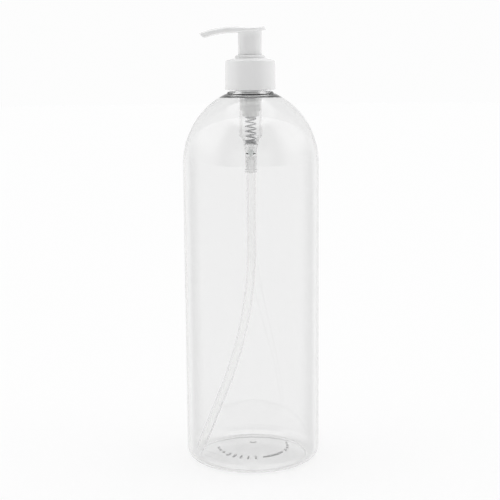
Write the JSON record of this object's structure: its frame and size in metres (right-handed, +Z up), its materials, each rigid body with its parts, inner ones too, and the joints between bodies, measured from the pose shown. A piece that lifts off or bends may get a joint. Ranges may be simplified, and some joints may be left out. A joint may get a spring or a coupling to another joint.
{
  "type": "pump dispenser bottle",
  "caption": "Clear cylindrical oil bottle with domed shoulder, smooth white screw closure and press-down pump head with a drooping spout.",
  "frame": {"origin": "centre of the base, on the surface the bottle stands on", "axes": "+Z up along the bottle, the spout points to -X, the press stroke is along -Z"},
  "size_m": [0.082, 0.082, 0.2642],
  "materials": {
    "clear_bottle": "clear glossy blown plastic",
    "pump_white": "smooth white moulded plastic, satin gloss",
    "inner_white": "white moulded plastic",
    "piston_natural": "natural soft plastic",
    "clear_barrel": "natural translucent moulded plastic",
    "natural_tube": "natural translucent extruded plastic",
    "seal_foam": "closed-cell foam",
    "spring_steel": "drawn spring wire",
    "valve_glass": "polished"
  },
  "bodies": {
    "bottle": {"bottle": "clear_bottle"},
    "pump_unit": {"pump_chamber": "clear_barrel", "locking_collar": "pump_white", "neck_gasket": "seal_foam", "dip_tube": "natural_tube", "return_spring": "spring_steel"},
    "closure": {"closure": "pump_white"},
    "plunger": {"stem": "inner_white", "piston_seat": "inner_white"},
    "piston": {"piston": "piston_natural"},
    "head": {"actuator": "pump_white"},
    "inlet_ball": {"inlet_ball": "valve_glass"}
  },
  "joints": [
    {"name": "pump_lift", "type": "slide", "parent": "bottle", "child": "pump_unit", "axis": [0, 0, 1], "range_m": [0, 0.00636]},
    {"name": "closure_turn", "type": "hinge", "parent": "pump_unit", "child": "closure", "pos_m": [0, 0, 0.235], "axis": [0, 0, 1], "range_deg": [0, 540]},
    {"name": "head_press", "type": "slide", "parent": "pump_unit", "child": "plunger", "axis": [0, 0, -1], "range_m": [0, 0.011], "stiffness_N_per_m": 500, "springref_m": -0.008, "deforming": ["return_spring"]},
    {"name": "piston_slip", "type": "slide", "parent": "plunger", "child": "piston", "axis": [0, 0, 1], "range_m": [0, 0.0009]},
    {"name": "head_swivel", "type": "hinge", "parent": "plunger", "child": "head", "pos_m": [0, 0, 0.25], "axis": [0, 0, 1], "continuous": true},
    {"name": "ball_lift", "type": "slide", "parent": "pump_unit", "child": "inlet_ball", "axis": [0, 0, 1], "range_m": [0, 0.002]}
  ],
  "couplings": [
    {"joint": "pump_lift", "follows": "closure_turn", "m_per_rad": 0.0006737}
  ]
}
